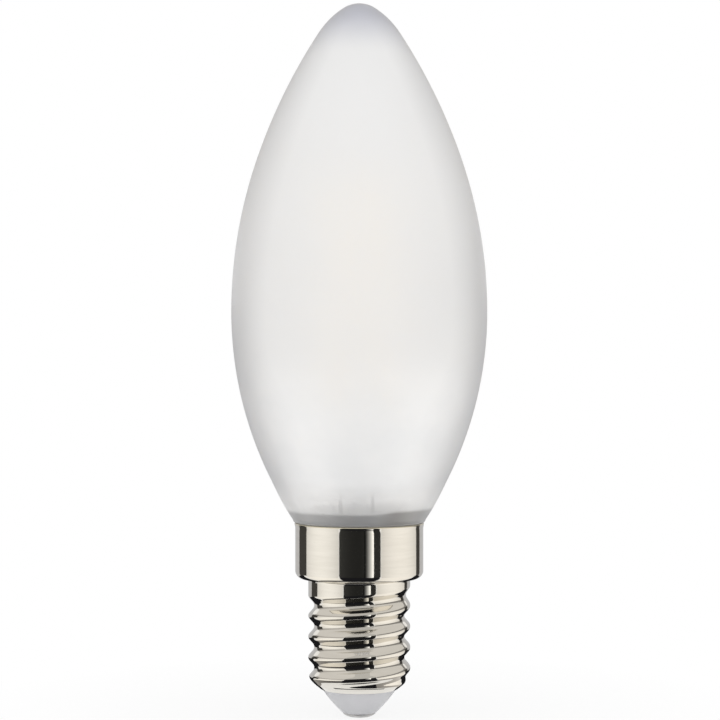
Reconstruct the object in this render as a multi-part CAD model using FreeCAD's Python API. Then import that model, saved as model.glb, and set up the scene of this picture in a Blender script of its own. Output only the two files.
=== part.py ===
import FreeCAD, Part
import math
import os

# A frosted filament candle lamp with a small screw cap, in millimetres.
# The origin is the middle of the centre contact's lower face, and +Z runs up the axis to the glass tip.
# The side that faces -Y is called the front here, and -X is left.

# Glass envelope: the outline is one chain of tangent arcs with a short straight cone;
# the crown arc takes a share of the height from the belly to the tip, and the flank is aimed at
# a tip circle but leaves it at a share of its turn, for a sharper drawn tip of two arcs
OVERALL_HEIGHT = 97.0
TIP_RADIUS = 5.32
CROWN_RADIUS = 63.2
CROWN_SHARE = 0.4577
FLANK_SHARE = 0.91
BELLY_RADIUS = 17.4
BELLY_HEIGHT = 55.1
LOWER_BELLY_RADIUS = 51.0
CONE_ANGLE = 26.0
CONE_LENGTH = 2.6
SHOULDER_RADIUS = 29.5
GLASS_WALL = 0.7
SEAT_BEAD = 0.35
NECK_FILLET = 0.28
NECK_LENGTH = 5.8

# Cap shell: one drawn sheet with a plain collar, a ledge and a rolled thread
COLLAR_TOP = 26.4
COLLAR_RADIUS = 8.71
COLLAR_CORNER = 1.05
RIM_FLARE = 0.11
RIM_DEPTH = 0.8
LEDGE_HEIGHT = 18.84
LEDGE_FILLET = 0.35
SHEET = 0.3
CREST_RADIUS = 6.94
PITCH = 2.822
THREAD_DEPTH = 0.8
CREST_ROUND = 0.62
FLANK_LEAN = 42.0
FIRST_CREST = 6.67
GROOVE_TOP = 16.0
GROOVE_TOP_FADE = 1.6
GROOVE_FOOT = 4.2
GROOVE_FOOT_FADE = 2.0
FOOT_RADIUS = 2.0
FOOT_LEAN = 52.4
FOOT_HEIGHT = 3.85
FOOT_OPENING = 5.25

# The drawn wall is one smooth cubic surface on this many columns, with a row of poles about every step
# and a first and last row at a share of a step; its slope is read over a short reach to each side
SKIN_DEGREE = 3
SKIN_COLUMNS = 24
SKIN_STEP = 0.28
SKIN_EDGE_SHARE = 1 / 3
SLOPE_REACH = 0.01
SEAM = 1e-6
WIDEST_SEAM = 1e-5

# Insulator and centre contact
CONTACT_RADIUS = 2.2
CONTACT_FLAT = 1.0
CONTACT_DOME = 0.45
CONTACT_HEIGHT = 0.6
SHANK_RADIUS = 0.9
SHANK_PROUD = 0.3
CONE_FOOT_RADIUS = 2.3
CONE_BULGE = 0.13
FLANGE_RADIUS = 5.3
FLANGE_LIFT = 0.12
INSULATOR_TOP = 5.3
CUP_RADIUS = 3.6
CUP_FLOOR = 2.6

# Glass stem: flare, pinch, exhaust tube and post
STEM_FOOT = 0.7
FLARE_MOUTH = 6.2
FLARE_RADIUS = 3.9
FLARE_RISE = 1.9
PINCH_DEPTH = 2.4
PINCH_TAPER = 2.0
PINCH_FOOT = 23.6
PINCH_HEIGHT = 5.2
PINCH_TIP_WIDTH = 2.2
PINCH_TIP_HEIGHT = 1.7
EXHAUST_RADIUS = 1.35
EXHAUST_BORE = 0.75
EXHAUST_END = 17.6
POST_RADIUS = 0.9
TIP_ROOM = 20.0
BEAD_RADIUS = 1.5

# Filament strips and the wires that carry them
FILAMENT_COUNT = 4
FILAMENT_RADIUS = 0.55
FILAMENT_ROUND = 0.2
FILAMENT_FOOT = 43.0
HEAD_DROP = 3.5
FOOT_CIRCLE = 5.0
HEAD_CIRCLE = 4.0
FOOT_TURN = 60.0
TWIST = -45.0
TAB_LENGTH = 1.6
TAB_WIDTH = 0.6
TAB_THICK = 0.22
LEAD_LEFT = -2.55
LEAD_RIGHT = 1.85
LEAD_RADIUS = 0.25
ARM_RADIUS = 0.19
ARM_RISE = 2.2
WIRE_BEND = 0.5
BEND_SHARE = 0.45
WIRE_INSET = 0.6

# Driver board and what it carries
BOARD_WIDTH = 10.0
BOARD_LENGTH = 13.0
BOARD_THICK = 0.8
BOARD_FRONT = 1.7
LEAD_OVERLAP = 1.5
CAN_RADIUS = 2.5
CAN_LENGTH = 8.0
CAN_LIFT = 1.6
CAN_PLACE = -2.1
CAN_GROOVE = 0.2
CAN_GROOVE_HEIGHT = 0.8
CAN_LEAD_SPREAD = 1.0
FUSE_RADIUS = 0.95
FUSE_LENGTH = 5.5
FUSE_LIFT = 3.2
FUSE_PLACE = 2.6
FUSE_ROUND = 0.3
FUSE_LEAD_BEND = 0.3
CHIP_WIDTH = 4.9
CHIP_THICK = 1.4
CHIP_HEIGHT = 3.9
CHIP_LIFT = 1.0
CHIP_LEGS = 4
RECTIFIER_WIDTH = 4.7
RECTIFIER_THICK = 1.5
RECTIFIER_HEIGHT = 3.9
RECTIFIER_LIFT = 5.6
RECTIFIER_LEGS = 2
LEG_WIDTH = 0.45
LEG_LENGTH = 0.7
LEG_THICK = 0.2
CERAMIC_WIDTH = 3.2
CERAMIC_THICK = 0.9
CERAMIC_HEIGHT = 1.6
CERAMIC_LIFT = 10.2
RESISTOR_WIDTH = 1.25
RESISTOR_THICK = 0.5
RESISTOR_HEIGHT = 2.0
RESISTOR_COUNT = 3
RESISTOR_PITCH = 2.6
RESISTOR_LIFT = 1.2
RESISTOR_PLACE = 3.85
THIN_WIRE = 0.2
NEUTRAL_PLACE = 4.3
NEUTRAL_LIFT = 0.07
SOLDER_RADIUS = 0.42
SOLDER_ROOM = 2.8

# Clearances
FIT = 0.05
NECK_PLAY = 0.3
CEMENT_PLAY = 0.02
CEMENT_FOOT = 0.3
CEMENT_TOP = 0.7
PIECE_GAP = 0.1


def at(r, z):
    return FreeCAD.Vector(r, 0, z)


def line(start, end):
    """A straight stretch of a turned outline, between two (radius, height) points."""
    return Part.LineSegment(at(*start), at(*end)).toShape()


def on_circle(centre, radius, angle):
    """The (radius, height) point of an arc at an angle up from the outward direction."""
    turn = math.radians(angle)
    return (centre[0] + radius * math.cos(turn), centre[1] + radius * math.sin(turn))


def arc(centre, radius, start, end):
    """A round stretch of a turned outline, between two angles."""
    middle = (start + end) / 2
    points = [at(*on_circle(centre, radius, angle)) for angle in (start, middle, end)]
    return Part.Arc(*points).toShape()


def turned(edges):
    """The solid that a closed outline sweeps round the axis."""
    face = Part.Face(Part.Wire(edges))
    solid = face.revolve(FreeCAD.Vector(0, 0, 0), FreeCAD.Vector(0, 0, 1), 360)
    return solid


def turned_outline(points):
    """A turned solid whose outline has only straight stretches."""
    pairs = zip(points, points[1:] + points[:1])
    return turned([line(a, b) for a, b in pairs])


def bent_wire(points, radius, bend):
    """A round wire along straight runs that are joined by tangent arcs."""
    path = [FreeCAD.Vector(*p) for p in points]
    edges = []
    start = path[0]
    for before, corner, after in zip(path, path[1:], path[2:]):
        inward = (corner - before).normalize()
        outward = (after - corner).normalize()
        turn = inward.getAngle(outward)
        room = BEND_SHARE * min(before.distanceToPoint(corner), corner.distanceToPoint(after))
        reach = min(bend * math.tan(turn / 2), room)
        begin = corner - inward * reach
        end = corner + outward * reach
        sagitta = reach * math.tan(turn / 4) * math.cos(turn / 2)
        half_way = (begin + end) / 2
        middle = half_way + (corner - half_way).normalize() * sagitta
        edges.append(Part.LineSegment(start, begin).toShape())
        edges.append(Part.Arc(begin, middle, end).toShape())
        start = end
    edges.append(Part.LineSegment(start, path[-1]).toShape())
    section = Part.Wire(Part.makeCircle(radius, path[0], path[1] - path[0]))
    return Part.Wire(edges).makePipeShell([section], True, False)


def rod(start, end, radius):
    """A straight round rod between two points."""
    start = FreeCAD.Vector(*start)
    run = FreeCAD.Vector(*end) - start
    return Part.makeCylinder(radius, run.Length, start, run)


def block(size, corner):
    return Part.makeBox(*size, FreeCAD.Vector(*corner))


# Places that follow from the sizes above
COLLAR_BORE = COLLAR_RADIUS - SHEET
NECK_RADIUS = COLLAR_BORE - NECK_PLAY
NECK_BORE = NECK_RADIUS - GLASS_WALL
SEAT_HEIGHT = COLLAR_TOP + FIT
NECK_FOOT = SEAT_HEIGHT - NECK_LENGTH
FOOT_CENTRE_RADIUS = CREST_RADIUS - FOOT_RADIUS
FOOT_SINE = math.sin(math.radians(FOOT_LEAN))
FOOT_COSINE = math.cos(math.radians(FOOT_LEAN))
FOOT_SLOPE = (FOOT_CENTRE_RADIUS + FOOT_RADIUS * FOOT_COSINE - FOOT_OPENING) / FOOT_SINE
FOOT_TOP = FOOT_HEIGHT + FOOT_SLOPE * FOOT_COSINE + FOOT_RADIUS * FOOT_SINE
CROWN_RISE = CROWN_SHARE * (OVERALL_HEIGHT - BELLY_HEIGHT)
CROWN_TURN = math.degrees(math.asin(CROWN_RISE / CROWN_RADIUS))
PINCH_TOP = PINCH_FOOT + PINCH_HEIGHT
POST_TOP = OVERALL_HEIGHT - TIP_ROOM
FILAMENT_HEAD = POST_TOP - HEAD_DROP
BOARD_BACK = BOARD_FRONT + BOARD_THICK
BOARD_TOP = INSULATOR_TOP + BOARD_LENGTH
LEDGE_FLOOR = LEDGE_HEIGHT + SHEET


def glass_flank(crown, tip):
    """The long flank arc, tangent to the crown arc where that ends and to the tip arc: centre and radius."""
    way = on_circle((0, 0), 1, CROWN_TURN)
    end = on_circle(crown, CROWN_RADIUS, CROWN_TURN)
    span = (end[0] - tip[0], end[1] - tip[1])
    ahead = span[0] * way[0] + span[1] * way[1]
    radius = (span[0] ** 2 + span[1] ** 2 - TIP_RADIUS**2) / (2 * (ahead - TIP_RADIUS))
    return on_circle(end, -radius, CROWN_TURN), radius


def direction(start, end):
    return math.degrees(math.atan2(end[1] - start[1], end[0] - start[0]))


def drawn_tip(start, turn):
    """Two tangent arcs from a point of the flank to the axis: the turn where they meet, and their radii."""
    rise = on_circle((0, 0), 1, turn + 90)
    span = (-start[0], OVERALL_HEIGHT - start[1])
    both = (rise[0] - 1, rise[1])
    along = span[0] * both[0] + span[1] * both[1]
    spread = 2 * (1 + rise[0])
    reach = (math.sqrt(along**2 + spread * (span[0] ** 2 + span[1] ** 2)) - along) / spread
    low = (start[0] + reach * rise[0], start[1] + reach * rise[1])
    middle_turn = direction(low, (reach, OVERALL_HEIGHT)) - 90
    nose_radius = reach / math.tan(math.radians(middle_turn - turn) / 2)
    tip_radius = reach / math.tan(math.radians(90 - middle_turn) / 2)
    return middle_turn, nose_radius, tip_radius


def glass_line(inset):
    """The blown outline from tip to cone, moved in by inset: its edges, and the centre of the shoulder."""
    tip = (0.0, OVERALL_HEIGHT - TIP_RADIUS)
    crown = (BELLY_RADIUS - CROWN_RADIUS, BELLY_HEIGHT)
    belly = (BELLY_RADIUS - LOWER_BELLY_RADIUS, BELLY_HEIGHT)
    flank, flank_radius = glass_flank(crown, tip)
    reach = flank_radius - TIP_RADIUS
    aimed_turn = direction((0, 0), ((tip[0] - flank[0]) / reach, (tip[1] - flank[1]) / reach))
    nose_turn = CROWN_TURN + FLANK_SHARE * (aimed_turn - CROWN_TURN)
    nose_start = on_circle(flank, flank_radius, nose_turn)
    tip_turn, nose_radius, tip_radius = drawn_tip(nose_start, nose_turn)
    nose = on_circle(nose_start, -nose_radius, nose_turn)
    lean = math.radians(CONE_ANGLE)
    fall = (-CONE_LENGTH * math.sin(lean), -CONE_LENGTH * math.cos(lean))
    cone_top = on_circle(belly, LOWER_BELLY_RADIUS - inset, -CONE_ANGLE)
    cone_foot = (cone_top[0] + fall[0], cone_top[1] + fall[1])
    shoulder = on_circle(cone_foot, SHOULDER_RADIUS - inset, 180 - CONE_ANGLE)
    edges = [
        arc((0.0, OVERALL_HEIGHT - tip_radius), tip_radius - inset, 90, tip_turn),
        arc(nose, nose_radius - inset, tip_turn, nose_turn),
        arc(flank, flank_radius - inset, nose_turn, CROWN_TURN),
        arc(crown, CROWN_RADIUS - inset, CROWN_TURN, 0),
        arc(belly, LOWER_BELLY_RADIUS - inset, 0, -CONE_ANGLE),
        line(cone_top, cone_foot),
    ]
    return edges, shoulder


def glass_envelope():
    """One blown wall, open at the neck, with a small bead that sits on the cap's rim."""
    outer, shoulder = glass_line(0)
    inner, shoulder = glass_line(GLASS_WALL)
    bead_top = SEAT_HEIGHT + SEAT_BEAD
    stop = -math.degrees(math.asin((shoulder[1] - bead_top) / SHOULDER_RADIUS))
    bead_rim = on_circle(shoulder, SHOULDER_RADIUS, stop)
    bead = (bead_rim[0] - SEAT_BEAD, bead_top)
    fillet = (NECK_RADIUS + NECK_FILLET, SEAT_HEIGHT - NECK_FILLET)
    inner_radius = SHOULDER_RADIUS - GLASS_WALL
    inner_stop = -math.degrees(math.acos((NECK_BORE - shoulder[0]) / inner_radius))
    inner_foot = on_circle(shoulder, inner_radius, inner_stop)
    outer.append(arc(shoulder, SHOULDER_RADIUS, -CONE_ANGLE, stop))
    outer.append(arc(bead, SEAT_BEAD, 0, -90))
    outer.append(line((bead[0], SEAT_HEIGHT), (fillet[0], SEAT_HEIGHT)))
    outer.append(arc(fillet, NECK_FILLET, 90, 180))
    outer.append(line((NECK_RADIUS, fillet[1]), (NECK_RADIUS, NECK_FOOT)))
    outer.append(line((NECK_RADIUS, NECK_FOOT), (NECK_BORE, NECK_FOOT)))
    outer.append(line((NECK_BORE, NECK_FOOT), inner_foot))
    inner.append(arc(shoulder, inner_radius, -CONE_ANGLE, inner_stop))
    axis = line((0, OVERALL_HEIGHT - GLASS_WALL), (0, OVERALL_HEIGHT))
    return turned(outer + inner[::-1] + [axis])


def cap_stretches():
    """The cap's outer line from foot to rim: lengths, points at a share of them, and which are threaded."""
    foot_centre = (FOOT_CENTRE_RADIUS, FOOT_TOP)
    barrel_top = LEDGE_HEIGHT - LEDGE_FILLET
    fillet_centre = (CREST_RADIUS + LEDGE_FILLET, barrel_top)
    corner_centre = (COLLAR_RADIUS - COLLAR_CORNER, LEDGE_HEIGHT + COLLAR_CORNER)
    slope = (FOOT_SLOPE * FOOT_SINE, FOOT_SLOPE * FOOT_COSINE)
    barrel = barrel_top - FOOT_TOP
    ledge = corner_centre[0] - fillet_centre[0]
    collar = COLLAR_TOP - corner_centre[1]
    quarter = math.pi / 2
    return [
        (FOOT_SLOPE, lambda t: (FOOT_OPENING + slope[0] * t, FOOT_HEIGHT + slope[1] * t), True),
        (
            FOOT_RADIUS * math.radians(FOOT_LEAN),
            lambda t: on_circle(foot_centre, FOOT_RADIUS, FOOT_LEAN * (t - 1)),
            True,
        ),
        (barrel, lambda t: (CREST_RADIUS, FOOT_TOP + barrel * t), True),
        (LEDGE_FILLET * quarter, lambda t: on_circle(fillet_centre, LEDGE_FILLET, 180 - 90 * t), False),
        (ledge, lambda t: (fillet_centre[0] + ledge * t, LEDGE_HEIGHT), False),
        (COLLAR_CORNER * quarter, lambda t: on_circle(corner_centre, COLLAR_CORNER, 90 * (t - 1)), False),
        (
            collar,
            lambda t: (COLLAR_RADIUS + rim_flare(collar * (1 - t)), corner_centre[1] + collar * t),
            False,
        ),
    ]


def ease(t):
    """Smooth step from 0 to 1."""
    t = min(max(t, 0.0), 1.0)
    return t * t * (3 - 2 * t)


def rim_flare(below_rim):
    return RIM_FLARE * ease(1 - below_rim / RIM_DEPTH)


def thread_profile(from_crest):
    """Depth at a distance from a crest: a round crest, a straight flank and a round root, all tangent."""
    sine = math.sin(math.radians(FLANK_LEAN))
    cosine = math.cos(math.radians(FLANK_LEAN))
    from_root = PITCH / 2 - from_crest
    both_rounds = (PITCH / 2 * sine - THREAD_DEPTH * cosine) / (1 - cosine)
    root_round = both_rounds - CREST_ROUND
    if from_crest < CREST_ROUND * sine:
        return CREST_ROUND - math.sqrt(CREST_ROUND**2 - from_crest**2)
    if from_root < root_round * sine:
        return THREAD_DEPTH - root_round + math.sqrt(root_round**2 - from_root**2)
    along_flank = from_crest - CREST_ROUND * sine
    return CREST_ROUND * (1 - cosine) + along_flank * sine / cosine


def groove(z, turn):
    """Depth of the rolled groove at a height, at a share of a turn, with its run-in and its run-out."""
    phase = (z - FIRST_CREST) / PITCH - turn
    groove_height = FIRST_CREST + PITCH * (turn + math.floor(phase) + 1 / 2)
    depth = thread_profile(abs(phase - round(phase)) * PITCH)
    run_in = ease((z - GROOVE_FOOT) / GROOVE_FOOT_FADE)
    run_out = ease(1 - (groove_height - GROOVE_TOP) / GROOVE_TOP_FADE)
    return depth * run_in * run_out


def cap_point(stretches, s, turn):
    """A point of the outer wall at a length along the line, as (radius, height)."""
    for index, (length, place, threaded) in enumerate(stretches):
        if s <= length or index == len(stretches) - 1:
            break
        s -= length
    r, z = place(s / length)
    if threaded:
        r -= groove(z, turn)
    return (r, z)


def skin_point(stretches, s, turn, inset):
    """A point of the drawn wall, moved in by inset square to the wall."""
    r, z = cap_point(stretches, s, turn)
    below = cap_point(stretches, s - SLOPE_REACH, turn)
    above = cap_point(stretches, s + SLOPE_REACH, turn)
    rise = (above[0] - below[0], above[1] - below[1])
    size = math.hypot(*rise)
    return (r - inset * rise[1] / size, z + inset * rise[0] / size)


def rolled_skin(inset):
    """The drawn and rolled wall as one closed surface; each pole stands a sixth of the bow off its point."""
    stretches = cap_stretches()
    total = sum(length for length, _, _ in stretches)
    spans = round(total / SKIN_STEP)
    rows = [0, SKIN_EDGE_SHARE] + list(range(1, spans)) + [spans - SKIN_EDGE_SHARE, spans]

    def wall(row, column):
        turn = column / SKIN_COLUMNS
        r, z = skin_point(stretches, row * total / spans, turn, inset)
        angle = 2 * math.pi * turn
        return FreeCAD.Vector(r * math.cos(angle), r * math.sin(angle), z)

    poles = []
    for column in range(SKIN_COLUMNS):
        column_poles = []
        for row in rows:
            point = wall(row, column)
            bow = wall(row, column - 1) + wall(row, column + 1) - point * 2
            if 1 <= row <= spans - 1:
                bow += wall(row - 1, column) + wall(row + 1, column) - point * 2
            column_poles.append(point - bow / 6)
        poles.append(column_poles)
    surface = Part.BSplineSurface()
    surface.buildFromPolesMultsKnots(
        poles,
        [1] * (SKIN_COLUMNS + 1),
        [SKIN_DEGREE + 1] + [1] * (spans - 1) + [SKIN_DEGREE + 1],
        list(range(SKIN_COLUMNS + 1)),
        list(range(spans + 1)),
        True,
        False,
        SKIN_DEGREE,
        SKIN_DEGREE,
    )
    return surface


def cap_shell():
    """Collar, ledge, threaded barrel and turned-in foot, drawn from one sheet."""
    outer = rolled_skin(0)
    inner = rolled_skin(SHEET)
    first, last = outer.bounds()[2], outer.bounds()[3]
    foot_edge = Part.makeRuledSurface(outer.vIso(first).toShape(), inner.vIso(first).toShape())
    rim_edge = Part.makeRuledSurface(outer.vIso(last).toShape(), inner.vIso(last).toShape())
    shell = Part.makeShell([outer.toShape(), foot_edge, inner.toShape(), rim_edge])
    shell.sewShape()
    solid = Part.makeSolid(shell)
    solid.fix(SEAM, SEAM, WIDEST_SEAM)
    return solid


def insulator():
    """White cone with a neck through the cap's foot, a flange that rests inside it, and a cup above."""
    bore = SHANK_RADIUS + FIT
    opening = FOOT_OPENING - SHEET * FOOT_COSINE
    sheet_top = FOOT_HEIGHT + SHEET * FOOT_SINE
    neck = opening - FIT
    flange = sheet_top + (FLANGE_RADIUS - opening) * FOOT_COSINE / FOOT_SINE + FLANGE_LIFT
    foot = (CONE_FOOT_RADIUS, CONTACT_HEIGHT)
    shoulder = (neck, FOOT_HEIGHT - FIT)
    slope = math.atan2(shoulder[1] - foot[1], shoulder[0] - foot[0])
    middle = (
        (foot[0] + shoulder[0]) / 2 + CONE_BULGE * math.sin(slope),
        (foot[1] + shoulder[1]) / 2 - CONE_BULGE * math.cos(slope),
    )
    corners = [
        shoulder,
        (neck, flange),
        (FLANGE_RADIUS, flange),
        (FLANGE_RADIUS, INSULATOR_TOP),
        (CUP_RADIUS, INSULATOR_TOP),
        (CUP_RADIUS, CUP_FLOOR),
        (bore, CUP_FLOOR),
        (bore, CONTACT_HEIGHT),
        foot,
    ]
    edges = [line(a, b) for a, b in zip(corners, corners[1:])]
    edges.append(Part.Arc(at(*foot), at(*middle), at(*shoulder)).toShape())
    return turned(edges)


def centre_contact():
    """Domed disc with a shank that is riveted through the insulator."""
    swell = CONTACT_RADIUS - CONTACT_FLAT
    dome = (swell**2 + CONTACT_DOME**2) / (2 * CONTACT_DOME)
    centre = (CONTACT_FLAT, dome)
    corners = [
        (CONTACT_RADIUS, CONTACT_DOME),
        (CONTACT_RADIUS, CONTACT_HEIGHT),
        (SHANK_RADIUS, CONTACT_HEIGHT),
        (SHANK_RADIUS, CUP_FLOOR + SHANK_PROUD),
        (0, CUP_FLOOR + SHANK_PROUD),
        (0, 0),
        (CONTACT_FLAT, 0),
    ]
    edges = [line(a, b) for a, b in zip(corners, corners[1:])]
    edges.append(arc(centre, dome, -90, direction(centre, corners[0])))
    return turned(edges)


def cement_ring():
    """Cement between the glass neck and the collar."""
    inside = NECK_RADIUS + CEMENT_PLAY
    outside = COLLAR_BORE - CEMENT_PLAY
    foot = max(NECK_FOOT, LEDGE_HEIGHT + COLLAR_CORNER + CEMENT_FOOT)
    top = COLLAR_TOP - CEMENT_TOP
    return turned_outline([(inside, foot), (outside, foot), (outside, top), (inside, top)])


def filament_ends(index):
    """The two ends of one coated strip, foot and head."""
    foot_turn = math.radians(FOOT_TURN + index * 360 / FILAMENT_COUNT)
    head_turn = foot_turn + math.radians(TWIST)
    foot = (FOOT_CIRCLE * math.cos(foot_turn), FOOT_CIRCLE * math.sin(foot_turn), FILAMENT_FOOT)
    head = (HEAD_CIRCLE * math.cos(head_turn), HEAD_CIRCLE * math.sin(head_turn), FILAMENT_HEAD)
    return FreeCAD.Vector(*foot), FreeCAD.Vector(*head)


def tab_tips(index):
    """The outer ends of the two metal tabs of one strip."""
    foot, head = filament_ends(index)
    along = (head - foot).normalize()
    return foot - along * TAB_LENGTH, head + along * TAB_LENGTH


def filament(index):
    foot, head = filament_ends(index)
    strip = rod(foot, head, FILAMENT_RADIUS)
    ends = [edge for edge in strip.Edges if len(edge.Vertexes) == 1]
    return strip.makeFillet(FILAMENT_ROUND, ends)


def filament_tabs(wires):
    """Flat tabs on both ends of every strip, welded round the wire ends."""
    tabs = []
    for index in range(FILAMENT_COUNT):
        foot, head = filament_ends(index)
        along = (head - foot).normalize()
        for start, way in ((foot, along * -1), (head, along)):
            tab = block((TAB_WIDTH, TAB_THICK, TAB_LENGTH), (-TAB_WIDTH / 2, -TAB_THICK / 2, 0))
            tab.Placement = FreeCAD.Placement(start, FreeCAD.Rotation(FreeCAD.Vector(0, 0, 1), way))
            tabs.append(tab.cut(wires))
    return Part.makeCompound([solid for tab in tabs for solid in tab.Solids])


def lead_wire(x, near, far):
    """From the board up through the pinch, then on to one strip, with a welded arm to the next."""
    board_side = BOARD_FRONT - LEAD_RADIUS
    fork = (x, 0, FILAMENT_FOOT - TAB_LENGTH - ARM_RISE)
    run = [
        (x, board_side, BOARD_TOP - LEAD_OVERLAP),
        (x, board_side, BOARD_TOP),
        (x, 0, BOARD_TOP + LEAD_OVERLAP),
        fork,
        tuple(tab_tips(near)[0]),
    ]
    wire = bent_wire(run, LEAD_RADIUS, WIRE_BEND)
    arm = rod((x, 0, fork[2] - WIRE_BEND), tab_tips(far)[0], ARM_RADIUS)
    return wire.fuse(arm).removeSplitter()


def top_wire(first, second):
    """Joins the heads of two strips through the bead of the glass post."""
    ends = [tab_tips(index)[1] for index in (first, second)]
    middle = (ends[0] + ends[1]) / 2
    middle.z = 0
    middle = middle.normalize() * WIRE_INSET
    middle.z = POST_TOP - BEAD_RADIUS
    return bent_wire([tuple(ends[0]), tuple(middle), tuple(ends[1])], ARM_RADIUS, WIRE_BEND)


def pressed_pinch():
    """The flare's end pressed flat, with slanted corners up to its tip."""
    round_end = rod((0, 0, PINCH_FOOT), (0, 0, PINCH_TOP), FLARE_RADIUS)
    half = PINCH_DEPTH / 2
    side = [
        (FLARE_RADIUS, PINCH_FOOT),
        (half, PINCH_FOOT + PINCH_TAPER),
        (half, PINCH_TOP),
        (-half, PINCH_TOP),
        (-half, PINCH_FOOT + PINCH_TAPER),
        (-FLARE_RADIUS, PINCH_FOOT),
    ]
    front = [
        (FLARE_RADIUS, PINCH_FOOT),
        (FLARE_RADIUS, PINCH_TOP - PINCH_TIP_HEIGHT),
        (PINCH_TIP_WIDTH / 2, PINCH_TOP),
        (-PINCH_TIP_WIDTH / 2, PINCH_TOP),
        (-FLARE_RADIUS, PINCH_TOP - PINCH_TIP_HEIGHT),
        (-FLARE_RADIUS, PINCH_FOOT),
    ]
    side_points = [FreeCAD.Vector(-FLARE_RADIUS, y, z) for y, z in side]
    front_points = [FreeCAD.Vector(x, -FLARE_RADIUS, z) for x, z in front]
    side_face = Part.Face(Part.makePolygon(side_points + side_points[:1]))
    front_face = Part.Face(Part.makePolygon(front_points + front_points[:1]))
    pressed = side_face.extrude(FreeCAD.Vector(2 * FLARE_RADIUS, 0, 0))
    pointed = front_face.extrude(FreeCAD.Vector(0, 2 * FLARE_RADIUS, 0))
    return round_end.common(pressed).common(pointed)


def glass_stem(wires):
    """Flare, pinch and sealed exhaust tube in one piece of glass, sealed round the lead wires."""
    tube_foot = NECK_FOOT + FLARE_RISE
    bore = FLARE_RADIUS - GLASS_WALL
    roof = PINCH_FOOT - GLASS_WALL
    flare = turned_outline(
        [
            (FLARE_MOUTH, NECK_FOOT - STEM_FOOT),
            (NECK_RADIUS, NECK_FOOT - STEM_FOOT),
            (NECK_RADIUS, NECK_FOOT),
            (NECK_BORE, NECK_FOOT),
            (FLARE_RADIUS, tube_foot),
            (FLARE_RADIUS, PINCH_FOOT),
            (0, PINCH_FOOT),
            (0, roof),
            (bore, roof),
            (bore, tube_foot),
        ]
    )
    exhaust = rod((0, 0, EXHAUST_END), (0, 0, PINCH_FOOT), EXHAUST_RADIUS)
    bore_end = EXHAUST_END + EXHAUST_RADIUS
    exhaust = exhaust.cut(rod((0, 0, bore_end), (0, 0, roof), EXHAUST_BORE))
    return flare.fuse([pressed_pinch(), exhaust]).removeSplitter().cut(wires)


def glass_post(wires):
    """Rod on the pinch with a bead that holds the top wires."""
    bead_height = POST_TOP - BEAD_RADIUS
    post = rod((0, 0, PINCH_TOP), (0, 0, bead_height), POST_RADIUS)
    bead = Part.makeSphere(BEAD_RADIUS, FreeCAD.Vector(0, 0, bead_height))
    return post.fuse(bead).removeSplitter().cut(wires)


def driver_board():
    size = (BOARD_WIDTH, BOARD_THICK, BOARD_LENGTH)
    return block(size, (-BOARD_WIDTH / 2, BOARD_FRONT, INSULATOR_TOP))


def on_board_back(width, thick, height, x, lift):
    """A flat component on the back of the board, centred at x."""
    return block((width, thick, height), (x - width / 2, BOARD_BACK, INSULATOR_TOP + lift))


def leaded_chip(width, thick, height, lift, legs):
    """A chip body with a row of flat legs on both sides."""
    chip = on_board_back(width, thick, height, 0, lift)
    parts = []
    for side in (-1, 1):
        for index in range(legs):
            leg_lift = lift + height * (index + 0.5) / legs - LEG_WIDTH / 2
            x = side * (width + LEG_LENGTH) / 2
            parts.append(on_board_back(LEG_LENGTH, LEG_THICK, LEG_WIDTH, x, leg_lift))
    return chip.fuse(parts).removeSplitter()


def driver_chip():
    return leaded_chip(CHIP_WIDTH, CHIP_THICK, CHIP_HEIGHT, CHIP_LIFT, CHIP_LEGS)


def bridge_rectifier():
    return leaded_chip(RECTIFIER_WIDTH, RECTIFIER_THICK, RECTIFIER_HEIGHT, RECTIFIER_LIFT, RECTIFIER_LEGS)


def chip_capacitor():
    return on_board_back(CERAMIC_WIDTH, CERAMIC_THICK, CERAMIC_HEIGHT, 0, CERAMIC_LIFT)


def chip_resistors():
    pieces = []
    for index in range(RESISTOR_COUNT):
        lift = RESISTOR_LIFT + index * RESISTOR_PITCH
        pieces.append(on_board_back(RESISTOR_WIDTH, RESISTOR_THICK, RESISTOR_HEIGHT, RESISTOR_PLACE, lift))
    return Part.makeCompound(pieces)


def smoothing_capacitor():
    """Upright can in front of the board, with both leads bent back to it."""
    y = BOARD_FRONT - PIECE_GAP - CAN_RADIUS
    foot = INSULATOR_TOP + CAN_LIFT
    can = turned_outline(
        [
            (0, 0),
            (CAN_RADIUS, 0),
            (CAN_RADIUS, CAN_GROOVE_HEIGHT),
            (CAN_RADIUS - CAN_GROOVE, CAN_GROOVE_HEIGHT + CAN_GROOVE),
            (CAN_RADIUS, CAN_GROOVE_HEIGHT + 2 * CAN_GROOVE),
            (CAN_RADIUS, CAN_LENGTH),
            (0, CAN_LENGTH),
        ]
    )
    can.translate(FreeCAD.Vector(CAN_PLACE, y, foot))
    leads = []
    for x in (CAN_PLACE - CAN_LEAD_SPREAD, CAN_PLACE + CAN_LEAD_SPREAD):
        low = foot - CAN_LIFT / 2
        run = [(x, y, foot + CAN_GROOVE), (x, y, low), (x, BOARD_FRONT, low)]
        leads.append(bent_wire(run, THIN_WIRE, WIRE_BEND))
    return can.fuse(leads).removeSplitter()


def fuse_axis():
    return (FUSE_PLACE, BOARD_FRONT - PIECE_GAP - FUSE_RADIUS)


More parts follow.
